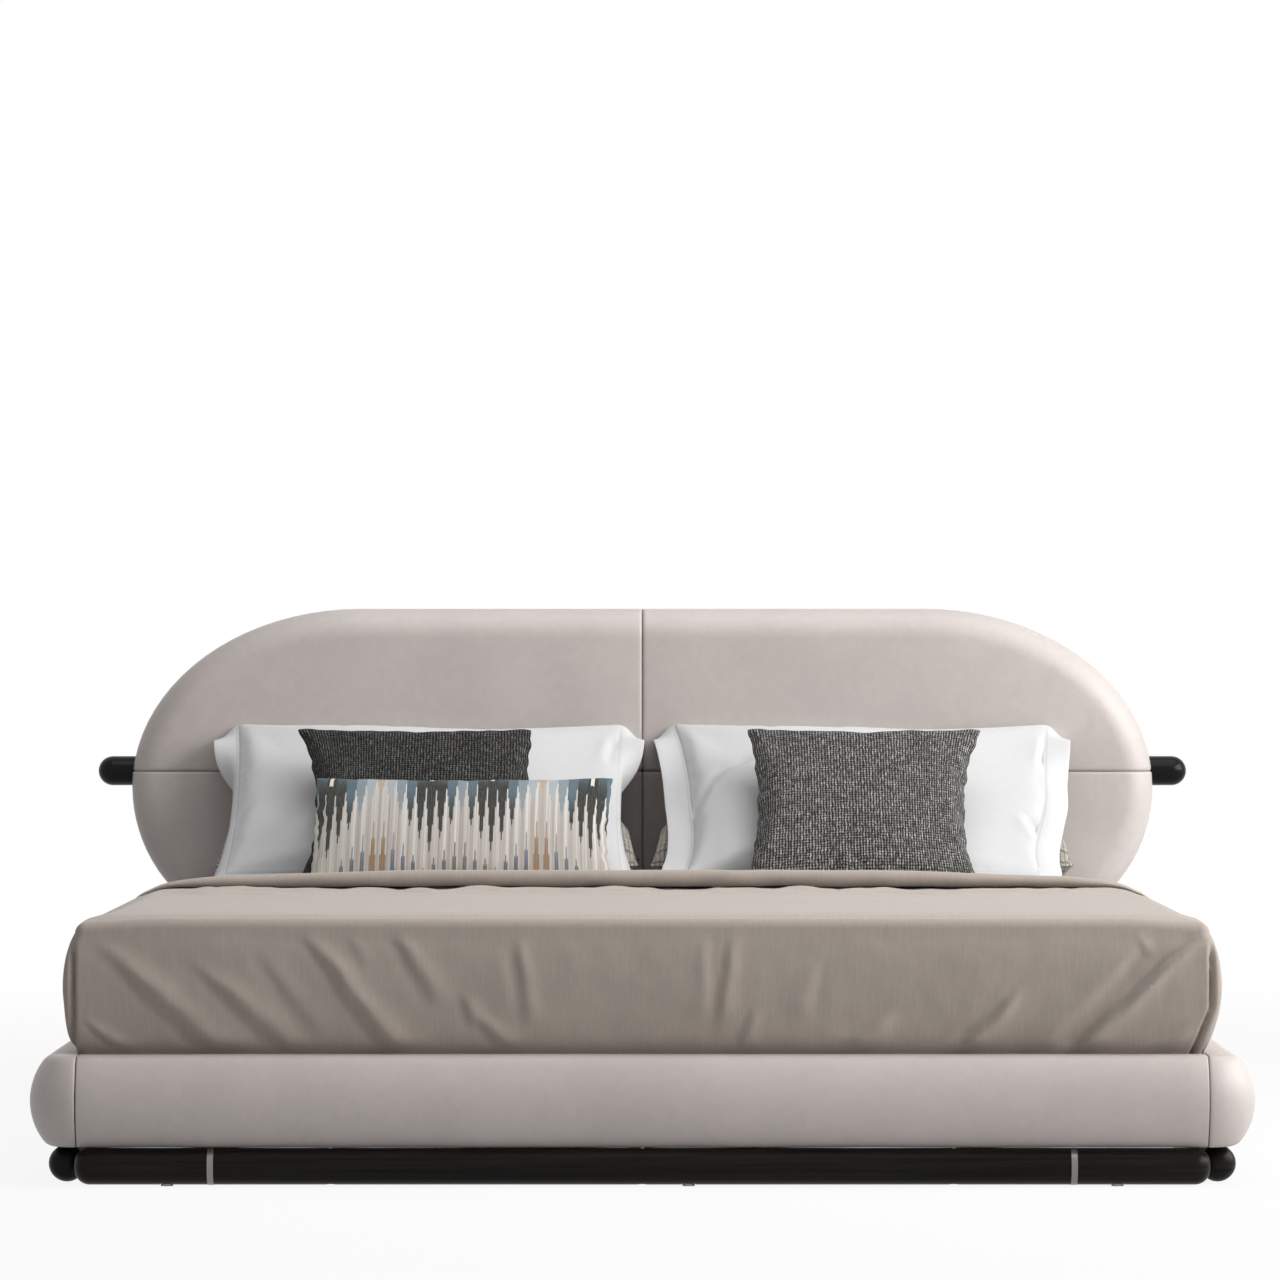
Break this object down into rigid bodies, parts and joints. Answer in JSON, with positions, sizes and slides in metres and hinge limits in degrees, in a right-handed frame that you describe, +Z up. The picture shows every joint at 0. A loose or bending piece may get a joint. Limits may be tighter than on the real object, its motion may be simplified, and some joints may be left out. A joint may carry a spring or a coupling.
{
  "type": "leather bed",
  "caption": "Bed with padded leather rails, a rounded leather headboard crossed by a round bar, a base of dark round logs, and its mattress, spread, pillows and cushions.",
  "frame": {"origin": "on the floor under the centre of the bed's overall box", "axes": "+X to the right as seen from the foot of the bed, +Y from the foot to the headboard, +Z up"},
  "size_m": [2.118, 2.2504, 0.947],
  "materials": {
    "leather": "satin",
    "leather_dark": "matte",
    "dark_wood": "gloss",
    "pale_wood": "matte",
    "black_steel": "satin",
    "steel": "satin",
    "nylon": "matte",
    "linen": "matte",
    "cotton": "matte",
    "tweed": "matte",
    "grey_wool": "matte",
    "flame_cloth": "matte"
  },
  "bodies": {
    "bed_frame": {"foot_rail_core": "pale_wood", "foot_rail_cover": "leather", "side_rail_core_left": "pale_wood", "side_rail_core_right": "pale_wood", "side_rail_cover_left": "leather", "side_rail_cover_right": "leather", "head_rail_core": "pale_wood", "head_rail_cover": "leather_dark", "corner_brackets": "black_steel", "corner_bolts": "steel", "slat_ledger_left": "pale_wood", "slat_ledger_right": "pale_wood", "ledger_screws": "steel", "middle_beam": "black_steel", "beam_hangers": "black_steel", "hanger_bolts": "steel", "middle_legs": "black_steel", "leg_screws": "steel", "leg_glides": "nylon", "slats_left": "pale_wood", "slats_right": "pale_wood", "slat_caps_left": "nylon", "slat_caps_right": "nylon", "foot_log_middle": "dark_wood", "foot_log_end_left": "dark_wood", "foot_log_end_right": "dark_wood", "foot_log_ring_left": "steel", "foot_log_ring_right": "steel", "side_log_left": "dark_wood", "side_log_right": "dark_wood", "head_log": "dark_wood", "log_bolts": "steel", "floor_glides": "nylon", "pad_upper_left": "leather", "pad_upper_right": "leather", "pad_lower_left": "leather", "pad_lower_right": "leather", "headboard_front_board": "pale_wood", "headboard_frame": "pale_wood", "headboard_back_board": "pale_wood", "headboard_back_cover": "leather_dark", "headboard_bar": "dark_wood", "bar_screws": "steel", "headboard_struts": "pale_wood", "strut_bolts": "steel"},
    "mattress": {"mattress": "cotton", "bedspread": "linen", "turn_down": "linen"},
    "tweed_left": {"tweed_pillow_left": "tweed"},
    "tweed_right": {"tweed_pillow_right": "tweed"},
    "white_left": {"white_pillow_left": "cotton"},
    "white_right": {"white_pillow_right": "cotton"},
    "grey_left": {"grey_cushion_left": "grey_wool"},
    "grey_right": {"grey_cushion_right": "grey_wool"},
    "long": {"long_cushion": "flame_cloth"}
  },
  "joints": [
    {"name": "mattress_lift", "type": "slide", "parent": "bed_frame", "child": "mattress", "axis": [0, 0, 1], "range_m": [0, 0.25]},
    {"name": "tweed_left_lift", "type": "slide", "parent": "mattress", "child": "tweed_left", "axis": [0, 0, 1], "range_m": [0, 0.3]},
    {"name": "tweed_right_lift", "type": "slide", "parent": "mattress", "child": "tweed_right", "axis": [0, 0, 1], "range_m": [0, 0.3]},
    {"name": "white_left_lift", "type": "slide", "parent": "tweed_left", "child": "white_left", "axis": [0, 0, 1], "range_m": [0, 0.3]},
    {"name": "white_right_lift", "type": "slide", "parent": "tweed_right", "child": "white_right", "axis": [0, 0, 1], "range_m": [0, 0.3]},
    {"name": "grey_left_lift", "type": "slide", "parent": "white_left", "child": "grey_left", "axis": [0, 0, 1], "range_m": [0, 0.3]},
    {"name": "grey_right_lift", "type": "slide", "parent": "white_right", "child": "grey_right", "axis": [0, 0, 1], "range_m": [0, 0.3]},
    {"name": "long_lift", "type": "slide", "parent": "grey_left", "child": "long", "axis": [0, 0, 1], "range_m": [0, 0.3]}
  ]
}
